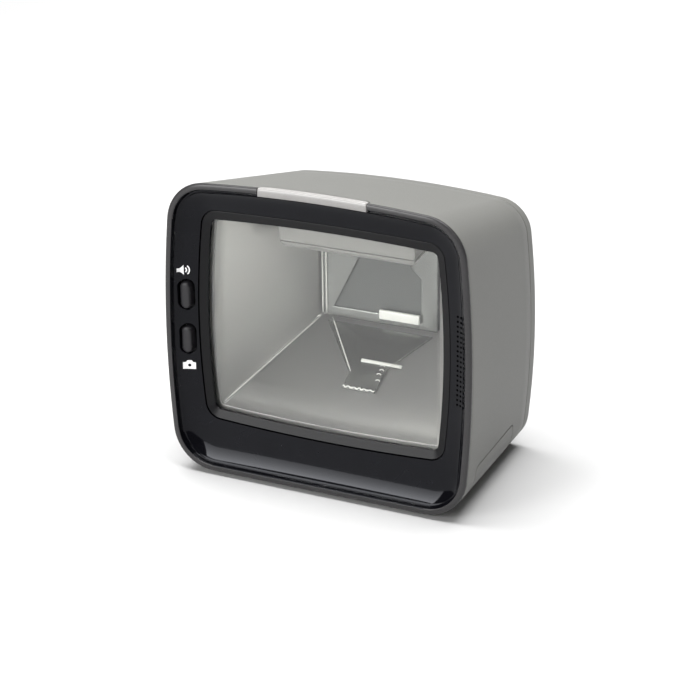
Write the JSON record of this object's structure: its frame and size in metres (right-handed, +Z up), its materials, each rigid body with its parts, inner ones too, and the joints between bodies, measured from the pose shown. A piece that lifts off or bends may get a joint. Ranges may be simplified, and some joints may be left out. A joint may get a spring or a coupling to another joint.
{
  "type": "presentation barcode scanner",
  "caption": "Upright counter-top barcode scanner: tapering grey housing, gloss black bezel round a deep reading window, push buttons and a speaker grille.",
  "frame": {"origin": "on the counter, under the middle of the scanner's bounding box", "axes": "+Z up, -Y out of the reading window towards the customer, +X to the right of someone who faces the window"},
  "size_m": [0.152, 0.094, 0.1423],
  "materials": {
    "housing_plastic": "fine moulded texture, satin warm grey",
    "gloss_black": "high-gloss black",
    "satin_black": "satin black",
    "button_plastic": "satin charcoal",
    "rubber": "matt black elastomer",
    "window": "clear flat pane with polished edge",
    "frosted_diffuser": "frosted light-spreading plastic",
    "clear_acrylic": "clear acrylic light pipe",
    "reflector": "metallised satin light grey",
    "mirror": "front-silvered mirror plate",
    "smoked_pane": "smoked acrylic",
    "circuit_board": "green solder mask",
    "inner_plastic": "matt black moulding",
    "speaker_paper": "black mesh and paper cone",
    "lens_glass": "coated lens",
    "sensor": "silicon sensor under glass",
    "flex_film": "amber polyimide film",
    "steel": "plated steel",
    "brass": "turned brass"
  },
  "bodies": {
    "scanner": {"main_housing": "housing_plastic", "rear_cover": "housing_plastic", "base_cover": "housing_plastic", "front_bezel": "gloss_black", "window_frame": "satin_black", "front_left_foot": "rubber", "front_right_foot": "rubber", "rear_left_foot": "rubber", "rear_right_foot": "rubber", "window_gasket": "rubber", "window_glass": "window", "status_light": "frosted_diffuser", "top_light_box": "frosted_diffuser", "top_light_diffuser": "frosted_diffuser", "floor_light_pipe": "clear_acrylic", "rear_light_pipe": "clear_acrylic", "light_funnel": "reflector", "floor_mirror": "mirror", "rear_mirror": "mirror", "camera_window": "smoked_pane", "status_light_board": "circuit_board", "button_board": "circuit_board", "top_light_board": "circuit_board", "camera_board": "circuit_board", "main_board": "circuit_board", "host_port": "inner_plastic", "power_jack": "inner_plastic", "camera_carrier": "inner_plastic", "lens_holder": "inner_plastic", "lens_barrel": "inner_plastic", "speaker_lead": "inner_plastic", "button_lead": "inner_plastic", "speaker_mesh": "speaker_paper", "speaker_cone": "speaker_paper", "objective_lens": "lens_glass", "image_sensor": "sensor", "camera_flex": "flex_film", "usb_port": "steel", "volume_switch": "steel", "image_switch": "steel", "speaker_frame": "steel", "speaker_magnet": "steel", "rear_screw_upper_left": "steel", "rear_screw_upper_right": "steel", "rear_screw_lower_left": "steel", "rear_screw_lower_right": "steel", "base_screw_front_left": "steel", "base_screw_front_right": "steel", "base_screw_rear_left": "steel", "base_screw_rear_right": "steel", "board_screw_front_left": "steel", "board_screw_front_right": "steel", "board_screw_rear_left": "steel", "board_screw_rear_right": "steel", "riser_insert_left": "brass", "riser_insert_right": "brass"},
    "volume_key": {"volume_button": "button_plastic", "volume_plunger": "inner_plastic"},
    "image_key": {"image_button": "button_plastic", "image_plunger": "inner_plastic"}
  },
  "joints": [
    {"name": "volume_press", "type": "slide", "parent": "scanner", "child": "volume_key", "axis": [0, 1, 0], "range_m": [0, 0.0008], "stiffness_N_per_m": 2500},
    {"name": "image_press", "type": "slide", "parent": "scanner", "child": "image_key", "axis": [0, 1, 0], "range_m": [0, 0.0008], "stiffness_N_per_m": 2500}
  ]
}
